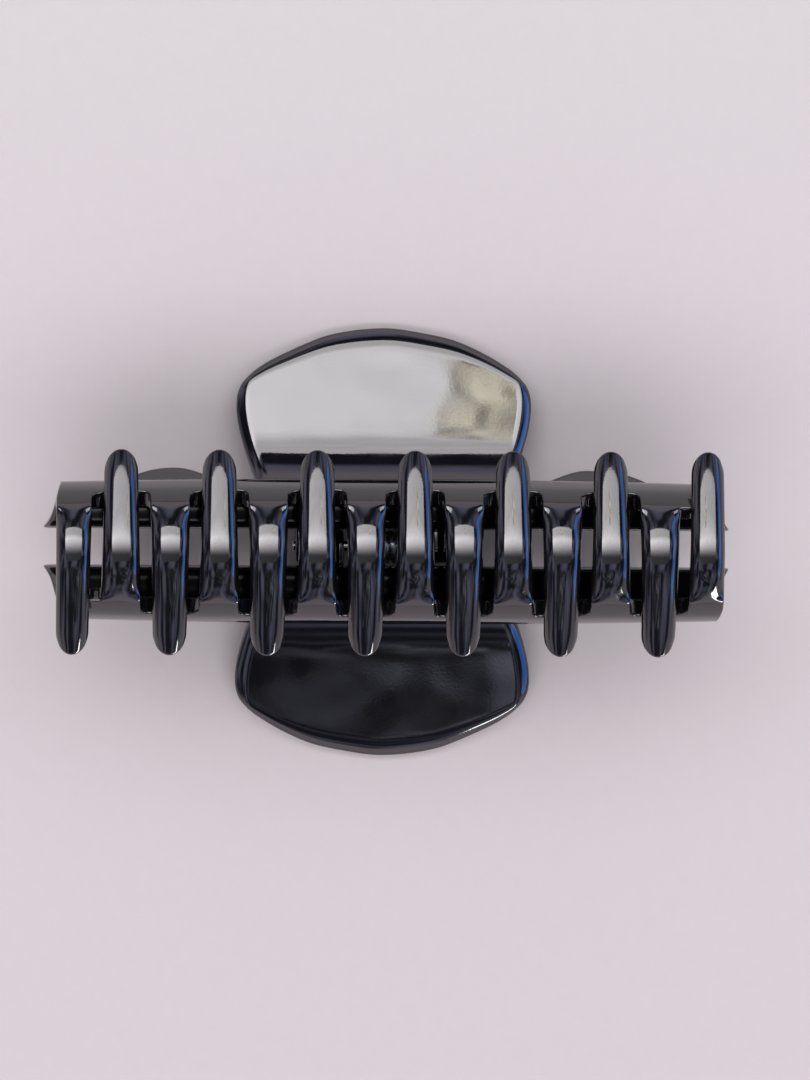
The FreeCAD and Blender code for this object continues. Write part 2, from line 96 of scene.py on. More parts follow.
# %% Camera
view_height = 140.4
camera_distance = 1200.0
camera_lean = (-0.0377, 0.0510)
camera_turn = math.radians(0.4)
aim = Vector((1.75, 2.0, body_height + body_radius))

camera_data = bpy.data.cameras.new("camera")
camera_data.sensor_fit = "VERTICAL"
camera_data.sensor_height = 36.0
camera_data.lens = camera_data.sensor_height * camera_distance / view_height
camera_data.clip_end = 10.0
camera = bpy.data.objects.new("camera", camera_data)
bpy.context.scene.collection.objects.link(camera)
camera.location = (aim + Vector((*camera_lean, 1.0)) * camera_distance) * MM
back = Vector((*camera_lean, 1.0)).normalized()
right = Vector((0.0, 1.0, 0.0)).cross(back).normalized()
up = back.cross(right)
upright = Matrix((right, up, back)).transposed()
camera.rotation_euler = (upright @ Matrix.Rotation(camera_turn, 3, "Z")).to_euler()
bpy.context.scene.camera = camera
print("lens", round(camera_data.lens, 1), "mm")

# %% [markdown]
# ## The section of a moulding
# Each moulding is one wall, bent along its width like the letter S: tooth, round bar, waist, sweep, handle.
# That section is a chain of tangent lines and arcs, so it is walked here as one path, from the tip of a
# tooth to the rim of the handle. At each distance along the path the walker gives a point on the outer face
# and the direction straight out of it. The wall's inner face is then one wall's thickness behind.

# %% Walk the section
tooth_slope = math.radians(15)
handle_tilt = math.radians(12)
body_axis = np.array((0.0, body_height))
sweep_axis = np.array((waist_gap + wall + sweep_radius, waist_height))


def touching(first, first_radius, second, second_radius):
    """The point at those distances from two points, on the side towards the middle plane."""
    way = second - first
    gap = np.linalg.norm(way)
    along = (first_radius**2 - second_radius**2 + gap**2) / (2 * gap)
    aside = math.sqrt(first_radius**2 - along**2)
    way = way / gap
    return first + way * along + np.array((way[1], -way[0])) * aside


waist_axis = touching(body_axis, body_radius + waist_round, sweep_axis, sweep_radius - waist_round)


def bearing(start, end):
    """The direction from one point to another, in radians."""
    return math.atan2(end[1] - start[1], end[0] - start[0])


class Arc:
    """An arc of the section. turn is -1 where the wall curls round its axis, 1 where it bends away."""

    def __init__(self, axis, radius, first, last, turn):
        self.axis, self.radius, self.first, self.last, self.turn = axis, radius, first, last, turn
        self.length = abs(last - first) * radius

    def at(self, distance):
        angle = self.first + (self.last - self.first) * distance / self.length
        out = np.array((math.cos(angle), math.sin(angle)))
        return self.axis + out * self.radius, out * -self.turn


class Straight:
    """A straight run of the section, from start along way."""

    def __init__(self, start, way, length):
        self.start, self.way, self.length = start, way, length

    def at(self, distance):
        return self.start + self.way * distance, np.array((-self.way[1], self.way[0]))


apex_angle = math.pi / 2 + tooth_slope
tooth_top = body_axis + body_radius * np.array((math.cos(apex_angle), math.sin(apex_angle)))
tooth_way = np.array((math.cos(tooth_slope), math.sin(tooth_slope)))
tooth_run = (tooth_top[0] + tooth_reach) / tooth_way[0]
body_end = bearing(body_axis, waist_axis)
hollow_start = bearing(waist_axis, body_axis)
hollow_end = bearing(sweep_axis, waist_axis) % math.tau
sweep_end = 1.5 * math.pi - handle_tilt
handle_way = np.array((math.cos(handle_tilt), -math.sin(handle_tilt)))
handle_start = sweep_axis + sweep_radius * np.array((math.cos(sweep_end), math.sin(sweep_end)))
handle_run = (handle_reach - handle_start[0]) / handle_way[0]
section = [
    Straight(tooth_top - tooth_way * tooth_run, tooth_way, tooth_run),
    Arc(body_axis, body_radius, apex_angle, body_end, -1),
    Arc(waist_axis, waist_round, hollow_start, hollow_end, 1),
    Arc(sweep_axis, sweep_radius, hollow_end, sweep_end, 1),
    Straight(handle_start, handle_way, handle_run),
]
joins = np.cumsum([0.0] + [stretch.length for stretch in section])


def walk(distance):
    """The outer face's point (y, z) and outward direction at a distance along the section."""
    number = int(np.clip(np.searchsorted(joins, distance, side="right") - 1, 0, len(section) - 1))
    return section[number].at(distance - joins[number])


print("section", [round(float(length), 2) for length in joins])

# %% [markdown]
# ## A cage for the moulding
# A polished moulding shows every dent in its reflections, so its mesh has to be smooth and evenly laid.
# Cutting slots with booleans would leave long thin faces. Instead the wall is unrolled in the mind into a
# flat sheet, x along the clip and distance along the section, and a lattice of lines is laid on it. Lines
# run along the edges of every tooth, slot and handle. The cells inside the outline are kept, doubled for
# the wall's two faces and closed at their borders. A subdivision surface then makes the cage smooth, and
# close pairs of lines at each border keep the edges tight.

# %% Lengthwise landmarks along the section
nose_length = 3.1
tooth_root_half = 2.6
tooth_tip_half = 2.22
edge_inset = 0.34
slot_rise = 4.7
crown_fades = 48.0


def body_distance(degrees):
    """The distance along the section at a bearing about the body's axis."""
    return joins[1] + (apex_angle - math.radians(degrees)) * body_radius


def sweep_distance(height):
    """The distance along the section where the sweep's outer face passes a height."""
    angle = math.pi + math.asin(min(1.0, (waist_height - height) / sweep_radius))
    return joins[3] + (angle - hollow_end) * sweep_radius


floor_distance = body_distance(math.degrees(math.asin(slot_rise / body_radius)))
crown_distance = body_distance(crown_fades)
print("slot floor at", round(floor_distance, 2), "crown fades at", round(crown_distance, 2))

# %% [markdown]
# The hem under the body is a wave, seen from the front: a small round notch beside the handle, a broad lobe
# and a long hollow out to the cusp at the end. Three circles that touch each other draw it.

# %% The wavy hem
handle_neck = 16.0
notch_radius = 2.05
lobe_place = 28.3
lobe_radius = 18.0
lobe_middle = body_height - 18.9 + lobe_radius
hollow_radius = 16.0
hollow_place = 50.0


def beside_lobe(across, radius):
    """The height of the middle of a circle that touches the lobe's circle from outside."""
    return lobe_middle - math.sqrt((lobe_radius + radius) ** 2 - (lobe_place - across) ** 2)


notch_place = handle_neck + notch_radius
notch_middle = beside_lobe(notch_place, notch_radius)
hollow_middle = beside_lobe(hollow_place, hollow_radius)
lobe_share = lobe_radius / (lobe_radius + notch_radius)
notch_touch = lobe_place + (notch_place - lobe_place) * lobe_share
hollow_touch = lobe_place + (hollow_place - lobe_place) * lobe_radius / (lobe_radius + hollow_radius)


def hem_height(x):
    """The height of the hem at x. Inside the handle's neck it stays at the neck's."""
    across = max(abs(x), notch_place)
    if across < notch_touch:
        return notch_middle + math.sqrt(notch_radius**2 - (across - notch_place) ** 2)
    if across < hollow_touch:
        return lobe_middle - math.sqrt(lobe_radius**2 - (across - lobe_place) ** 2)
    return hollow_middle + math.sqrt(hollow_radius**2 - (hollow_place - across) ** 2)


def hem_distance(x):
    """The distance along the section at which the hem lies at x."""
    return sweep_distance(hem_height(x))


print("hem heights", [round(hem_height(x), 2) for x in (16, 20, 28, 36, 44)])

# %% [markdown]
# The handle is a broad shield, seen from above: sides that swell from the neck, two round corners, and a
# rim that is one flat bow. Each line of the lattice that runs down the handle keeps its share of the width,
# so one function of how far down the handle we are gives the half width, and another gives the rim.

# %% The handle's plan
handle_half = 19.75
rim_radius = 29.0
corner_radius = 5.0
rim_middle = handle_reach - rim_radius
corner_across = handle_half - corner_radius
corner_up = rim_middle + math.sqrt((rim_radius - corner_radius) ** 2 - corner_across**2)
corner_way = math.atan2(corner_up - rim_middle, corner_across)
corner_turn = (math.pi / 2 + corner_way) / 4
corner_point = (
    corner_across + corner_radius * math.cos(corner_turn),
    corner_up + corner_radius * math.sin(corner_turn),
)
rim_end = rim_radius * math.cos(corner_way)
neck_y = walk(hem_distance(notch_place))[0][0]


def side_across(y):
    """The handle's half width where its outer face is y from the middle plane."""
    if y > corner_up:
        return corner_across + math.sqrt(max(corner_radius**2 - (y - corner_up) ** 2, 0.0))
    share = (y - neck_y) / (corner_up - neck_y)
    return handle_neck + (handle_half - handle_neck) * math.sin(min(max(share, 0.0), 1.0) * math.pi / 2)


def rim_reach(x):
    """How far out the rim is at x, round the corners too."""
    if abs(x) < rim_end:
        return rim_middle + math.sqrt(rim_radius**2 - x**2)
    return corner_up + math.sqrt(max(corner_radius**2 - (abs(x) - corner_across) ** 2, 0.0))


def distance_at_y(y):
    """The distance along the section at which the sweep or the handle is y from the middle plane."""
    if y >= handle_start[0]:
        return joins[4] + (y - handle_start[0]) / handle_way[0]
    angle = math.pi + math.acos((sweep_axis[0] - y) / sweep_radius)
    return joins[3] + (angle - hollow_end) * sweep_radius


print("handle corner", [round(value, 2) for value in corner_point], "neck at y", round(neck_y, 2))

# %% [markdown]
# Now the lattice. Its lines down the wall come in groups: six on each tooth, four in each slot, five beyond
# the last tooth. Where a line passes the waist it drifts sideways, so that two of them become the handle's
# sides. Each line knows its place at the teeth and its place at the hem. The lines beside an edge are set
# close to it, and every other line of the hem is spread evenly between the ones that are set.

# %% Lines down the wall
rim_sink = 0.75
slot_edge = 0.5
slot_inner = 1.7
shoulder_inner = 1.0
end_edge = 0.45
handle_edge = 1.0
neck_edge = 0.7
notch_edges = (0.2, 1.6)
tooth_shares = (-1.0, -0.8, -0.3, 0.3, 0.8, 1.0)
near_reach = 43.7
far_reach = 42.2
lines = []
for number, place in enumerate(tooth_places):
    for share in tooth_shares:
        lines.append({"tooth": number, "share": share, "x": place + share * tooth_root_half})
    left = place + tooth_root_half
    if number < len(tooth_places) - 1:
        right, right_inner = tooth_places[number + 1] - tooth_root_half, slot_inner
    else:
        right, right_inner = far_reach, shoulder_inner
    for x in (left + slot_edge, left + slot_inner, right - right_inner, right - end_edge):
        lines.append({"tooth": None, "share": 0.0, "x": x})
lines.append({"tooth": None, "share": 0.0, "x": far_reach})
lines[0]["x"] = -near_reach
lines[1]["x"] = -near_reach + slot_edge

handle_lines = [
    min(range(len(lines)), key=lambda number: abs(lines[number]["x"] - side * handle_neck))
    for side in (-1, 1)
]
left_side, right_side = handle_lines
anchor_lines = {
    0: -near_reach,
    left_side - 3: -notch_place - notch_edges[1],
    left_side - 2: -notch_place - notch_edges[0],
    left_side - 1: -handle_neck - neck_edge,
    left_side: -handle_neck,
    left_side + 1: -handle_neck + handle_edge,
    right_side - 1: handle_neck - handle_edge,
    right_side: handle_neck,
    right_side + 1: handle_neck + neck_edge,
    right_side + 2: notch_place + notch_edges[0],
    right_side + 3: notch_place + notch_edges[1],
    len(lines) - 1: near_reach,
}
known = sorted(anchor_lines)
for number, line in enumerate(lines):
    below = max(k for k in known if k <= number)
    above = min(k for k in known if k >= number)
    if below == above:
        line["hem_x"] = anchor_lines[number]
        continue
    span = lines[above]["x"] - lines[below]["x"]
    share = (line["x"] - lines[below]["x"]) / span
    line["hem_x"] = anchor_lines[below] + share * (anchor_lines[above] - anchor_lines[below])
lines[1]["hem_x"] = -near_reach + end_edge
lines[-2]["hem_x"] = near_reach - end_edge
print(len(lines), "lines; handle sides are lines", handle_lines)

# %% [markdown]
# The lines across the wall are its rows. They are close together where the section changes quickly: at the
# tips of the teeth, where the crown of a tooth ends, at the slot floors and at the hem. On the round bar they
# are evenly spread, so that its reflections run straight. Below the waist a row no longer has one distance
# along the section. It has a share of the way, first to the hem and then down the handle.

# %% Lines across the wall
tip_rows = [0.0, 0.35, 0.9, 1.7, 2.8, 4.4, 6.2, 8.0, 9.7]
crown_steps = (-0.7, -0.25, 0.2, 0.8)
floor_steps = (-0.9, 0.0, edge_inset, 1.1)
hem_start = joins[3] + 1.2


def spread(start, end, count):
    """Evenly spread distances after start, up to and with end."""
    return list(np.linspace(start, end, count + 1)[1:])


tooth_rows = tip_rows + [joins[1]] + spread(joins[1], crown_distance + crown_steps[0], 6)
tooth_rows += [crown_distance + step for step in crown_steps[1:]]
bar_rows = [floor_distance + step for step in floor_steps]
bar_rows += spread(bar_rows[-1], joins[2], 6)
waist_rows = spread(joins[2], joins[3], 4) + [hem_start]
hem_shares = [0.16, 0.36, 0.56, 0.74, 0.9, 1.0]
handle_shares = [0.0, 0.1, 0.22, 0.36, 0.5, 0.64, 0.77, 0.87, 0.94, 1.0]
rows = [("distance", value) for value in tooth_rows + bar_rows + waist_rows]
floor_row = len(tooth_rows) + 1
crown_row = len(tooth_rows) - 2
rows += [("hem", share) for share in hem_shares]
hem_row = len(rows) - 1
rows += [("handle", share) for share in handle_shares[1:]]
print(len(rows), "rows; slot floor", floor_row, "hem", hem_row)

# %% [markdown]
# Every crossing of a row and a line needs three numbers: its x, its distance along the section and how far
# the surface is sunk there. The tips of the teeth are rounded by bending the first rows into half ellipses.
# The teeth have a crown: their flanks are sunk below the middle, and the crown ends sharply where the tooth
# leaves the bar, so that each tooth looks like a tusk laid on it.

# %% Where a row crosses a line
tip_swing = math.radians(62)
slot_corner_drop = 1.1
floor_corner_drop = 0.4
rim_blend = 1.6
drift_end = joins[3] + 4
flank_drop = {1.0: 1.35, 0.8: 0.5, 0.3: 0.05}
tip_dip = 1.05
dip_length = 12.0
end_tooth_half = 2.05
crown_fade = 1.6


def smooth(share):
    """A share from 0 to 1 that starts and ends gently."""
    share = min(max(share, 0.0), 1.0)
    return share * share * (3 - 2 * share)


def tooth_half_at(distance, line):
    """The half width of a tooth, which is narrower towards its tip."""
    if line["tooth"] == 0 and line["share"] < 0:
        return end_tooth_half
    share = min(max((distance - nose_length) / (crown_distance - nose_length), 0.0), 1.0)
    return tooth_tip_half + (tooth_root_half - tooth_tip_half) * share


def crown_at(distance, share):
    """How far the crown sinks the surface of a tooth at that distance and share of its half width."""
    fading = 1 - smooth((distance - crown_distance + crown_fade) / (crown_fade + 0.2))
    dip = tip_dip * max(0.0, 1 - distance / dip_length) ** 2
    return flank_drop[abs(share)] * fading + dip


def tooth_point(row, line):
    """A lattice point on a tooth."""
    distance, share = rows[row][1], line["share"]
    half = tooth_half_at(distance, line)
    sink = crown_at(distance, share)
    across = share
    if distance < nose_length:
        done = distance / nose_length
        swing = tip_swing * share
        across = (1 - done) * math.sin(swing) + done * share
        distance = (1 - done) * nose_length * (1 - math.cos(swing)) + done * nose_length
        if abs(share) == 1:
            swing = tip_swing + (math.pi / 2 - tip_swing) * done
            across = math.sin(swing) * share
            distance = nose_length * (1 - math.cos(swing))
    return tooth_places[line["tooth"]] + half * across, distance, sink


def body_x(line, distance):
    """The x of a line below the slot floors, drifting towards its place on the hem."""
    drift = smooth((distance - floor_distance) / (drift_end - floor_distance))
    return line["x"] + (line["hem_x"] - line["x"]) * drift


def lattice_point(row, number):
    """x, distance and sink of a crossing."""
    kind, value = rows[row]
    line = lines[number]
    if kind == "distance":
        on_tooth = line["tooth"] is not None
        if row <= floor_row and on_tooth:
            x, distance, sink = tooth_point(row, line)
            if row == floor_row and abs(line["share"]) == 1 and number != last_flank:
                distance -= slot_corner_drop
            return x, distance, sink
        distance = value
        if row == floor_row and lines[number - 1]["tooth"] != lines[number]["tooth"]:
            distance -= floor_corner_drop
        return body_x(line, distance), distance, 0.0
    if kind == "hem":
        distance = hem_start + (hem_distance(line["hem_x"]) - hem_start) * value
        return body_x(line, distance), distance, 0.0
    share = line["hem_x"] / handle_neck
    side_y = neck_y + (corner_point[1] - neck_y) * value
    rim_x = corner_point[0] * share
    y = side_y + (rim_reach(rim_x) - corner_point[1]) * value**rim_blend
    on_border = abs(share) == 1 or value == 1
    return share * side_across(side_y), distance_at_y(y), rim_sink if on_border else 0.0


# %% [markdown]
# The two ends of a moulding are cut slanting, seen from above, so that the inner edge sticks out to a cusp.
# The bar bulges like a barrel, a little slimmer at the ends. Both are done on the finished points, once for
# the outer face and once for the inner one.

# %% From lattice to space
bulge_middle = 0.2
bulge_fall = 0.55
end_places = (2.0, 3.2, waist_gap + wall, 6.5, 8.6, body_radius)


def end_reach(y, reach):
    """How far the cut end reaches at y, for a bar that reaches that far."""
    fall = near_reach - reach
    reaches = (cusp_reach, 44.8, 44.1, 43.8, 43.4 - fall * 0.6, 42.9 - fall)
    return float(np.interp(y, end_places, reaches))


def in_space(x, distance, depth, row, number):
    """The point at a depth under the outer face, in millimetres."""
    (y, z), out = walk(distance)
    y, z = y - out[0] * depth, z - out[1] * depth
    if row > floor_row:
        if number == 0:
            x = -end_reach(y, near_reach)
        elif number == len(lines) - 1:
            x = end_reach(y, far_reach)
    swell = smooth((y + 1) / body_radius) * smooth((z - waist_height) / (body_height - waist_height))
    y += (bulge_middle - bulge_fall * (x / near_reach) ** 2) * swell
    return Vector((x, y, z))


last_flank = max(number for number, line in enumerate(lines) if line["tooth"] is not None)


def cell_kept(row, number):
    """Whether the cell beyond that row and line belongs to the moulding."""
    here, there = lines[number], lines[number + 1]
    on_shoulder = last_flank <= number < last_flank + 2
    if crown_row <= row < floor_row and on_shoulder:
        return True
    if row < floor_row:
        return here["tooth"] is not None and here["tooth"] == there["tooth"]
    if row < hem_row:
        return True
    return left_side <= number < right_side


kept = [
    (row, number)
    for row in range(len(rows) - 1)
    for number in range(len(lines) - 1)
    if cell_kept(row, number)
]
print(len(kept), "cells kept")

# %% [markdown]
# Each kept cell becomes two faces, one on each side of the wall. Where a cell has no neighbour, the gap
# between the two sides is closed by three narrow faces, and the outer and inner ones are kept short, so
# that the corners stay crisp when the mesh is smoothed. Everything is counted from the cells, so no face
# can be made twice or forgotten.

# %% Close the lattice into a wall
edge_depth = 0.45
depths = (0.0, edge_depth, wall - edge_depth, wall)
print("layers through the wall at", depths)


def close_wall(mesh):
    """Adds the wall of one moulding to a mesh."""
    points = {}

    def corner(row, number, layer):
        """The vertex of a crossing on one of the four layers through the wall, made when first asked for."""
        key = (row, number, layer)
        if key not in points:
            x, distance, sink = lattice_point(row, number)
            depth = depths[layer] if layer else 0.0
            if layer < 3:
                depth = sink + depth * (wall - sink) / wall
            points[key] = mesh.verts.new(in_space(x, distance, depth, row, number) * MM)
        return points[key]

    borders = {}
    for row, number in kept:
        around = [(row, number), (row, number + 1), (row + 1, number + 1), (row + 1, number)]
        mesh.faces.new([corner(*place, 0) for place in around])
        mesh.faces.new([corner(*place, 3) for place in reversed(around)])
        for start, end in zip(around, around[1:] + around[:1]):
            if (end, start) in borders:
                del borders[(end, start)]
            else:
                borders[(start, end)] = True
    for start, end in borders:
        for layer in range(3):
            mesh.faces.new(
                [
                    corner(*end, layer),
                    corner(*start, layer),
                    corner(*start, layer + 1),
                    corner(*end, layer + 1),
                ]
            )


# %% [markdown]
# Two knuckles stand on the inner face of each moulding, one for each end of the hinge. Each is a round eye
# on a web, drilled for the pin. They belong to the moulding, so they go into the same mesh. The other
# moulding's knuckles sit beside them on the pin, because it is the same part turned half round.

# %% Knuckles
knuckle_radius = 2.3
knuckle_bore = 0.8
knuckle_chamfer = 0.28
web_reach = waist_gap + wall * 0.8
knuckle_spans = ((-12.0, -9.0), (5.5, 8.5))
around_count = 16
almost_nothing = 0.001


def skin(mesh, loops):
    """Joins each loop of vertices to the next one with a band of faces."""
    for first, second in zip(loops, loops[1:]):
        for number in range(len(first)):
            after = (number + 1) % len(first)
            mesh.faces.new([first[number], first[after], second[after], second[number]])


def knuckle_edge(angle):
    """How far the knuckle's edge is from the pin's axis in a direction; zero points at the web."""
    if math.cos(angle) <= 0:
        return knuckle_radius
    up = knuckle_radius / max(abs(math.sin(angle)), almost_nothing)
    return min(up, web_reach / math.cos(angle))


def add_knuckle(mesh, start, end):
    """One knuckle. Each loop has an x and an inset from the edge: None is the bore, -1 its chamfer."""
    loops = []
    turns = [math.tau * number / around_count for number in range(around_count)]
    for x, inset in (
        (start + knuckle_chamfer, None),
        (start, -1.0),
        (start, knuckle_chamfer),
        (start + knuckle_chamfer, 0.0),
        (end - knuckle_chamfer, 0.0),
        (end, knuckle_chamfer),
        (end, -1.0),
        (end - knuckle_chamfer, None),
    ):
        loop = []
        for turn in turns:
            reach = knuckle_edge(turn)
            if inset is None:
                reach = knuckle_bore
            elif inset < 0:
                reach = knuckle_bore + knuckle_chamfer
            else:
                reach -= inset
            point = Vector((x, reach * math.cos(turn), pin_height + reach * math.sin(turn)))
            loop.append(mesh.verts.new(point * MM))
        loops.append(loop)
    skin(mesh, loops + loops[:1])


print(len(knuckle_spans), "knuckles on each moulding at", knuckle_spans)

# %% [markdown]
# Both mouldings come out of one mould, so one function makes both, and the second is turned half round
# about the upright axis. The cage goes through a subdivision surface, which is what makes it smooth.

# %% Make one moulding
def finish_mesh(name, mesh):
    """Turns a bmesh into a smooth-shaded object in the scene. Flat end caps stay flat."""
    bmesh.ops.recalc_face_normals(mesh, faces=mesh.faces)
    for face in mesh.faces:
        face.smooth = len(face.verts) < 5
    data = bpy.data.meshes.new(name)
    mesh.to_mesh(data)
    mesh.free()
    piece = bpy.data.objects.new(name, data)
    bpy.context.scene.collection.objects.link(piece)
    return piece


smooth_levels = 2


def make_jaw(name, half_turned):
    """One moulding, as it lies in the rear half or turned half round for the front half."""
    mesh = bmesh.new()
    close_wall(mesh)
    for start, end in knuckle_spans:
        add_knuckle(mesh, start, end)
    if half_turned:
        for vertex in mesh.verts:
            vertex.co.x, vertex.co.y = -vertex.co.x, -vertex.co.y
    piece = finish_mesh(name, mesh)
    surface = piece.modifiers.new("smooth", "SUBSURF")
    surface.levels = surface.render_levels = smooth_levels
    print(name, len(piece.data.polygons), "cage faces")
    return piece


rear_look = make_jaw("rear_jaw_look", False)
front_look = make_jaw("front_jaw_look", True)
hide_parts("rear_jaw")
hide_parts("front_jaw")
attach(rear_look, "rear_half")
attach(front_look, "front_half")

# %% [markdown]
# ## The pin
# The pin is a plain length of drawn wire with its ends rounded over. It is turned from its profile, like a
# piece on a lathe, and lies along the hinge's axis.

# %% The hinge pin
pin_radius = 0.75
pin_half_length = 12.3
pin_sides = 32


def lathe(name, profile, sides):
    """A solid turned about the pin's axis from (x, radius) pairs. Both ends are closed with a fan."""
    mesh = bmesh.new()
    loops = []
    for x, radius in profile:
        turns = [math.tau * number / sides for number in range(sides)]
        loops.append(
            [
                mesh.verts.new(
                    Vector((x, radius * math.cos(turn), pin_height + radius * math.sin(turn))) * MM
                )
                for turn in turns
            ]
        )
    skin(mesh, loops)
    mesh.faces.new(list(reversed(loops[0])))
    mesh.faces.new(loops[-1])
    return finish_mesh(name, mesh)


end_round = 0.22
end_steps = [math.pi / 2 * step / 4 for step in range(5)]
pin_profile = [
    (-pin_half_length + end_round * (1 - math.sin(a)), pin_radius - end_round * (1 - math.cos(a)))
    for a in reversed(end_steps)
]
pin_profile += [(-x, radius) for x, radius in reversed(pin_profile)]
pin_look = lathe("hinge_pin_look", pin_profile, pin_sides)
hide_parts("hinge_pin")
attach(pin_look, "rear_half")
print("pin", len(pin_look.data.polygons), "faces")

# %% [markdown]
# ## The spring
# The spring is one wire: a leg that lies against a handle's inner face, eight and a bit turns round the pin,
# and the other leg. Its centre line is a list of points, and a circle is carried along it without twisting,
# so the tube is even and the legs run straight out of the coil. When the clip opens, one leg follows each
# moulding and the coil winds up between them. Here the spring is one fixed mesh that belongs to neither
# moulding.

# %% The torsion spring
wire_radius = 0.45
coil_radius = 1.9
coil_pitch = 0.96
leg_slope = math.radians(58)
leg_length = 9.0
leg_stops = (leg_length, leg_length - 0.15, 6.0, 3.0, 0.6)
end_taper = 0.72
coil_turns = 8 + math.degrees(leg_slope) / 180
coil_start = math.pi / 2 - leg_slope
coil_half = coil_pitch * coil_turns / 2
wire_sides = 14
steps_per_turn = 40


def coil_point(turn):
    """The wire's centre line after a number of turns of the coil."""
    angle = coil_start + math.tau * turn
    x = -coil_half + coil_pitch * turn
    return Vector((x, coil_radius * math.cos(angle), pin_height + coil_radius * math.sin(angle)))


leg_way = Vector((0.0, math.cos(leg_slope), -math.sin(leg_slope)))
wire_path = [coil_point(0) + leg_way * reach for reach in leg_stops]
coil_steps = int(coil_turns * steps_per_turn)
wire_path += [coil_point(coil_turns * step / coil_steps) for step in range(coil_steps + 1)]
other_way = Vector((0.0, -leg_way.y, leg_way.z))
wire_path += [coil_point(coil_turns) + other_way * reach for reach in reversed(leg_stops)]


def sweep_wire(name, path, radius, sides):
    """A round tube along a path, its cross-section carried along without twisting."""
    mesh = bmesh.new()
    neighbours = zip(path[:1] + path[:-1], path[1:] + path[-1:])
    ways = [(after - before).normalized() for before, after in neighbours]
    side = ways[0].orthogonal().normalized()
    loops = []
    for number, (point, way) in enumerate(zip(path, ways)):
        side = (side - way * side.dot(way)).normalized()
        up = way.cross(side)
        at_end = number in (0, len(path) - 1)
        reach = radius * end_taper if at_end else radius
        turns = [math.tau * count / sides for count in range(sides)]
        loops.append(
            [
                mesh.verts.new((point + (side * math.cos(turn) + up * math.sin(turn)) * reach) * MM)
                for turn in turns
            ]
        )
    skin(mesh, loops)
    mesh.faces.new(list(reversed(loops[0])))
    mesh.faces.new(loops[-1])
    return finish_mesh(name, mesh)


spring_look = sweep_wire("torsion_spring_look", wire_path, wire_radius, wire_sides)
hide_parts("torsion_spring")
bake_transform(spring_look)
print("spring", len(spring_look.data.polygons), "faces")

# %% [markdown]
# ## Finishes
# All the finishes are made from noise, so they need no pictures. These helpers make a material, lay noise
# on it, map the noise onto a useful range and turn it into height. One more makes a material that only
# shines, for the cards that light the clip.

# %% Helpers for materials
def new_material(name):
    """A material, its node tree and its surface shader."""
    material = bpy.data.materials.new(name)
    material.use_nodes = True
    tree = material.node_tree
    return material, tree, tree.nodes["Principled BSDF"]


def noise(tree, scale, detail=4.0, stretch=(1.0, 1.0, 1.0)):
    """Noise fixed to the object. scale counts the blobs per metre."""
    place = tree.nodes.new("ShaderNodeTexCoord")
    mapping = tree.nodes.new("ShaderNodeMapping")
    mapping.inputs["Scale"].default_value = stretch
    texture = tree.nodes.new("ShaderNodeTexNoise")
    texture.inputs["Scale"].default_value = scale
    texture.inputs["Detail"].default_value = detail
    tree.links.new(place.outputs["Object"], mapping.inputs["Vector"])
    tree.links.new(mapping.outputs["Vector"], texture.inputs["Vector"])
    return texture.outputs["Fac"]


def between(tree, value, low, high, start=0.35, end=0.65):
    """Maps noise from its usual range onto low to high."""
    ramp = tree.nodes.new("ShaderNodeMapRange")
    ramp.inputs["From Min"].default_value = start
    ramp.inputs["From Max"].default_value = end
    ramp.inputs["To Min"].default_value = low
    ramp.inputs["To Max"].default_value = high
    tree.links.new(value, ramp.inputs["Value"])
    return ramp.outputs["Result"]


def bump(tree, height, depth, normal=None):
    """Raises a surface by height times depth metres, on top of another bump if one is given."""
    node = tree.nodes.new("ShaderNodeBump")
    node.inputs["Distance"].default_value = depth
    tree.links.new(height, node.inputs["Height"])
    if normal is not None:
        tree.links.new(normal, node.inputs["Normal"])
    return node.outputs["Normal"]


def times(tree, first, second):
    """The product of two values."""
    node = tree.nodes.new("ShaderNodeMath")
    node.operation = "MULTIPLY"
    tree.links.new(first, node.inputs[0])
    tree.links.new(second, node.inputs[1])
    return node.outputs["Value"]


def position(tree, kind):
    """The X, Y and Z of a kind of texture coordinate."""
    place = tree.nodes.new("ShaderNodeTexCoord")
    split = tree.nodes.new("ShaderNodeSeparateXYZ")
    tree.links.new(place.outputs[kind], split.inputs["Vector"])
    return split.outputs


def glow_material(name, colour):
    """A material that only shines, with its tree, its emission node and where it is on the card."""
    material = bpy.data.materials.new(name)
    material.use_nodes = True
    tree = material.node_tree
    tree.nodes.remove(tree.nodes["Principled BSDF"])
    glow = tree.nodes.new("ShaderNodeEmission")
    glow.inputs["Color"].default_value = (*colour, 1.0)
    tree.links.new(glow.outputs["Emission"], tree.nodes["Material Output"].inputs["Surface"])
    return material, tree, glow, position(tree, "Generated")


# %% [markdown]
# The mouldings are polished black plastic. What gives such a surface away is not its colour but its
# reflections: nearly sharp, gently bent by the shrinkage of the moulding, with a little fine dust and
# rub in the gloss. So the shader is a plain dark one whose roughness and surface height come from noise.

# %% Polished black plastic
plastic, tree, shader = new_material("polished_black_plastic")
shader.inputs["Base Color"].default_value = (0.0016, 0.0016, 0.0022, 1.0)
shader.inputs["IOR"].default_value = 1.8
rub = between(tree, noise(tree, 260.0), 0.045, 0.085)
tree.links.new(rub, shader.inputs["Roughness"])
shrinkage = bump(tree, noise(tree, 90.0, detail=1.0), 0.00012)
dust = bump(tree, noise(tree, 2600.0, detail=2.0), 0.000002, shrinkage)
tree.links.new(dust, shader.inputs["Normal"])
for piece in (rear_look, front_look):
    piece.data.materials.append(plastic)
print(plastic.name, "on both mouldings")

# %% [markdown]
# The pin and the spring are steel wire. Drawing leaves faint scratches along the wire, so their noise is
# stretched along the pin. The spring is a shade darker, because spring wire keeps a film of oil and oxide.

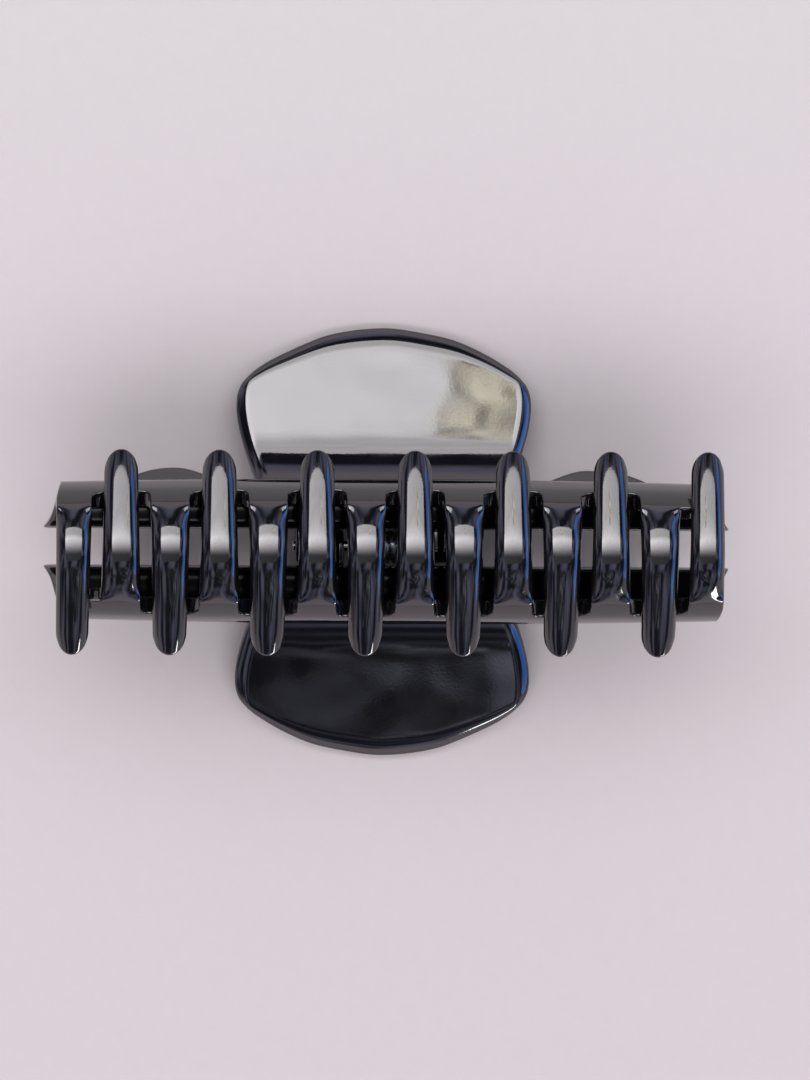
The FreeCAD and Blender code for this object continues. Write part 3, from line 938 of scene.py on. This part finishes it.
# %% Steel wires
def steel(name, colour, low, high):
    """Drawn steel wire of a colour, with a roughness between low and high."""
    material, tree, shader = new_material(name)
    shader.inputs["Base Color"].default_value = (*colour, 1.0)
    shader.inputs["Metallic"].default_value = 1.0
    drawn = noise(tree, 1800.0, detail=3.0, stretch=(0.08, 1.0, 1.0))
    tree.links.new(between(tree, drawn, low, high), shader.inputs["Roughness"])
    tree.links.new(bump(tree, drawn, 0.000006), shader.inputs["Normal"])
    return material


pin_look.data.materials.append(steel("drawn_steel", (0.62, 0.61, 0.6), 0.18, 0.32))
spring_look.data.materials.append(steel("spring_wire", (0.42, 0.41, 0.41), 0.22, 0.4))

# %% [markdown]
# ## The table and the light
# The clip lies on a pale sheet. The sheet is not white: it is a mid tone lit strongly, so that the
# reflection of the big light on the polished handle can come out as bright as the sheet itself. It lies a
# quarter of a millimetre low, so that the handles' rounded rims rest on it and do not dip into it.

# %% The sheet under the clip
def add_plane(name, width, height):
    """A flat card in the XY plane."""
    mesh = bmesh.new()
    bmesh.ops.create_grid(mesh, x_segments=1, y_segments=1, size=0.5)
    bmesh.ops.scale(mesh, vec=(width, height, 1.0), verts=mesh.verts)
    return finish_mesh(name, mesh)


sheet_width = 6.0
sheet_drop = 0.25
sheet = add_plane("sheet", sheet_width, sheet_width)
sheet.location.z = -sheet_drop * MM
sheet_material, tree, shader = new_material("pale_sheet")
# Painted shade: the sheet's colour gets darker and pinker towards the front, away from the soft light, and
# stands in for the light falling off across the table. The mottle added on top is the paper's own uneven
# tone.
painted_falloff = between(tree, position(tree, "Object")["Y"], 0.0, 0.9, start=-0.07, end=0.07)
mottle = between(tree, noise(tree, 900.0), 0.0, 0.1)
falloff_and_mottle = tree.nodes.new("ShaderNodeMath")
tree.links.new(painted_falloff, falloff_and_mottle.inputs[0])
tree.links.new(mottle, falloff_and_mottle.inputs[1])
sheet_colour_and_shade = tree.nodes.new("ShaderNodeMix")
sheet_colour_and_shade.data_type = "RGBA"
sheet_colour_and_shade.inputs["A"].default_value = (0.24, 0.216, 0.229, 1.0)
sheet_colour_and_shade.inputs["B"].default_value = (0.252, 0.24, 0.247, 1.0)
tree.links.new(falloff_and_mottle.outputs["Value"], sheet_colour_and_shade.inputs["Factor"])
tree.links.new(sheet_colour_and_shade.outputs["Result"], shader.inputs["Base Color"])
tree.links.new(between(tree, noise(tree, 400.0), 0.6, 0.75), shader.inputs["Roughness"])
tree.links.new(bump(tree, noise(tree, 1800.0), 0.00001), shader.inputs["Normal"])
shader.inputs["Specular IOR Level"].default_value = 0.2
sheet.data.materials.append(sheet_material)
print("sheet", sheet_width, "m wide,", sheet_drop, "mm below the clip")

# %% [markdown]
# One big soft light stands behind the clip, high over the rear handle, and leans right over it. It is wide,
# so it fills the handle's face from side to side and draws one patch on the crown of every tooth. It is
# brightest at its low edge and fades towards the top, which is why each patch starts sharply and melts away
# along the tooth. It is a card that shines, because a card can carry that gradient in its material.

# %% The soft light
def facing_clip(azimuth, elevation, distance):
    """Where a light stands and how it is turned. azimuth is counted from +X towards +Y, in degrees."""
    turn, rise = math.radians(azimuth), math.radians(elevation)
    way = Vector((math.cos(rise) * math.cos(turn), math.cos(rise) * math.sin(turn), math.sin(rise)))
    across = Vector((math.sin(turn), -math.cos(turn), 0.0))
    facing = Matrix((across, across.cross(way), -way)).transposed()
    return way * distance, facing.to_euler()


softbox_strength = 7.8
softbox_size = (1.16, 0.887)
softbox = add_plane("softbox", *softbox_size)
softbox.location, softbox.rotation_euler = facing_clip(azimuth=90, elevation=76, distance=0.8)
softbox.visible_camera = False
softbox_material, tree, glow, on_card = glow_material("softbox_glow", (1.0, 0.965, 1.0))
upward = tree.nodes.new("ShaderNodeMapRange")
upward.interpolation_type = "SMOOTHSTEP"
upward.inputs["From Min"].default_value = 0.3
upward.inputs["From Max"].default_value = 0.82
upward.inputs["To Min"].default_value = softbox_strength
upward.inputs["To Max"].default_value = softbox_strength * 0.04
tree.links.new(on_card["Y"], upward.inputs["Value"])
sideways = between(tree, on_card["X"], 1.15, 0.8, start=0.0, end=1.0)
hot_band = between(tree, on_card["Y"], 0.55, 1.0, start=0.22, end=0.36)
folds = between(tree, noise(tree, 22.0, detail=3.0), 0.9, 1.08)
along = times(tree, upward.outputs["Result"], hot_band)
tree.links.new(times(tree, times(tree, along, sideways), folds), glow.inputs["Strength"])
softbox.data.materials.append(softbox_material)
print("soft light", softbox_size, "m, strength", softbox_strength)

# %% [markdown]
# Two small cards hang close over the handles, because a flat polished face is a mirror. A far room shows in
# it as one even tone, while a thing close by shows with all its shapes. The card over the front handle is
# dark with pale clouds, more of them to the right. The card over the rear handle is crumpled paper. It
# covers only the right part of the mirror and has a ragged left edge. Its creases are stretched noise. Only
# the gloss sees the cards.

# %% Cards over the handles
handle_height = 4.0


def add_card(name, x, y, size, lift):
    """A card that a handle mirrors. x and y say where the mirror image falls, in millimetres."""
    card = add_plane(name, *size)
    mirror = Vector((0.0, math.copysign(math.sin(handle_tilt), y), math.cos(handle_tilt)))
    sight = Vector((*camera_lean, 1.0)).normalized()
    way = mirror * 2 * mirror.dot(sight) - sight
    card.location = Vector((x, y, handle_height)) * MM + way * lift
    downward = (-way).cross(Vector((1.0, 0.0, 0.0))).normalized()
    card.rotation_euler = Matrix((downward.cross(-way), downward, -way)).transposed().to_euler()
    card.visible_camera = False
    card.visible_diffuse = False
    card.visible_shadow = False
    return card


clouds = add_card("clouds_card", 0.0, -21.0, (0.075, 0.05), 0.16)
clouds_material, tree, glow, on_card = glow_material("pale_clouds", (0.78, 0.8, 1.0))
cloud = between(tree, noise(tree, 75.0, detail=3.0), 0.08, 1.45, start=0.45, end=0.75)
to_right = between(tree, on_card["X"], 0.35, 1.0, start=0.35, end=0.6)
tree.links.new(times(tree, cloud, to_right), glow.inputs["Strength"])
clouds.data.materials.append(clouds_material)

crumple = add_card("crumpled_card", 13.4, 20.5, (0.018, 0.021), 0.13)
crumple_material, tree, glow, on_card = glow_material("crumpled_paper", (1.0, 0.93, 0.76))
creases = noise(tree, 260.0, detail=6.0, stretch=(1.5, 0.7, 1.0))
tree.links.new(between(tree, creases, 0.7, 6.8, start=0.41, end=0.56), glow.inputs["Strength"])
ragged = tree.nodes.new("ShaderNodeMath")
tree.links.new(on_card["X"], ragged.inputs[0])
tree.links.new(noise(tree, 190.0, detail=5.0), ragged.inputs[1])
gap = tree.nodes.new("ShaderNodeBsdfTransparent")
torn = tree.nodes.new("ShaderNodeMixShader")
tree.links.new(between(tree, ragged.outputs["Value"], 0.0, 1.0, start=0.62, end=0.8), torn.inputs["Fac"])
tree.links.new(gap.outputs["BSDF"], torn.inputs[1])
tree.links.new(glow.outputs["Emission"], torn.inputs[2])
tree.links.new(torn.outputs["Shader"], tree.nodes["Material Output"].inputs["Surface"])
crumple.data.materials.append(crumple_material)
print("cards over the handles:", clouds.name, "and", crumple.name)

# %% [markdown]
# A blue light low on the right draws a thin line down the right flank of every tooth, and a small white one
# at the lower right leaves sparks. Both are kept to reflections, so they cannot tint the sheet. The fill
# does the opposite. It hangs overhead and lifts the sheet and the shadows evenly, but the gloss cannot see
# it, or it would draw a bright patch on top of every bar.

# %% Small lights
def accent(name, azimuth, elevation, distance, size, radiance, colour):
    """A rectangular light that faces the clip. It only shows in reflections, until told otherwise."""
    data = bpy.data.lights.new(name, "AREA")
    data.shape = "RECTANGLE"
    data.size, data.size_y = size
    data.energy = radiance * math.pi * size[0] * size[1]
    data.color = colour
    light = bpy.data.objects.new(name, data)
    bpy.context.scene.collection.objects.link(light)
    light.location = facing_clip(azimuth, elevation, distance)[0]
    light.rotation_euler = (-light.location).to_track_quat("-Z", "Y").to_euler()
    light.visible_diffuse = False
    light.visible_camera = False
    return light


# name, azimuth and elevation in degrees, distance and size in metres, radiance, colour
accent("blue_window", 4, 22, 0.9, (1.1, 0.36), 2.4, (0.06, 0.3, 1.0))
fill = accent("fill", -90, 84, 1.0, (1.3, 1.3), 7.5, (1.0, 0.98, 1.0))
fill.visible_diffuse = True
fill.visible_glossy = False
accent("spark", -62, 22, 0.7, (0.26, 0.07), 20.0, (1.0, 1.0, 1.0))

# %% [markdown]
# The rest is the room, and it is two things at once. For the sheet and the shadows it is bright and even,
# which keeps the shadows soft. The gloss sees something else: a dim ceiling with vague blotches, and a pale
# band near the table ahead of the clip and behind it. Polished plastic only looks polished when there are
# dark places and pale places for it to mirror. The light path node tells the two kinds of ray apart.

# %% The room
room_light = 1.4
world = bpy.data.worlds.new("room")
world.use_nodes = True
tree = world.node_tree
place = tree.nodes.new("ShaderNodeTexCoord")
split = tree.nodes.new("ShaderNodeSeparateXYZ")
tree.links.new(place.outputs["Generated"], split.inputs["Vector"])
blotches = tree.nodes.new("ShaderNodeTexNoise")
blotches.inputs["Scale"].default_value = 3.5
blotches.inputs["Detail"].default_value = 1.0
tree.links.new(place.outputs["Generated"], blotches.inputs["Vector"])
ceiling = tree.nodes.new("ShaderNodeMix")
ceiling.data_type = "RGBA"
ceiling.inputs["A"].default_value = (0.03, 0.03, 0.045, 1.0)
ceiling.inputs["B"].default_value = (0.62, 0.62, 0.9, 1.0)
tree.links.new(between(tree, blotches.outputs["Fac"], 0.0, 1.0, 0.42, 0.66), ceiling.inputs["Factor"])
low = between(tree, split.outputs["Z"], 1.0, 0.0, 0.33, 0.43)
sideways_off = tree.nodes.new("ShaderNodeMath")
sideways_off.operation = "ABSOLUTE"
tree.links.new(split.outputs["Y"], sideways_off.inputs[0])
ahead_or_behind = between(tree, sideways_off.outputs["Value"], 0.1, 1.0, 0.45, 0.8)
seen = tree.nodes.new("ShaderNodeMix")
seen.data_type = "RGBA"
seen.inputs["B"].default_value = (0.95, 0.84, 0.93, 1.0)
tree.links.new(times(tree, low, ahead_or_behind), seen.inputs["Factor"])
tree.links.new(ceiling.outputs["Result"], seen.inputs["A"])
for_all = tree.nodes.new("ShaderNodeMix")
for_all.data_type = "RGBA"
for_all.inputs["A"].default_value = (room_light, room_light * 0.985, room_light, 1.0)
kind = tree.nodes.new("ShaderNodeLightPath")
tree.links.new(kind.outputs["Is Glossy Ray"], for_all.inputs["Factor"])
tree.links.new(seen.outputs["Result"], for_all.inputs["B"])
tree.links.new(for_all.outputs["Result"], tree.nodes["Background"].inputs["Color"])
bpy.context.scene.world = world
bpy.context.scene.view_settings.view_transform = "Standard"
print("room light", room_light)
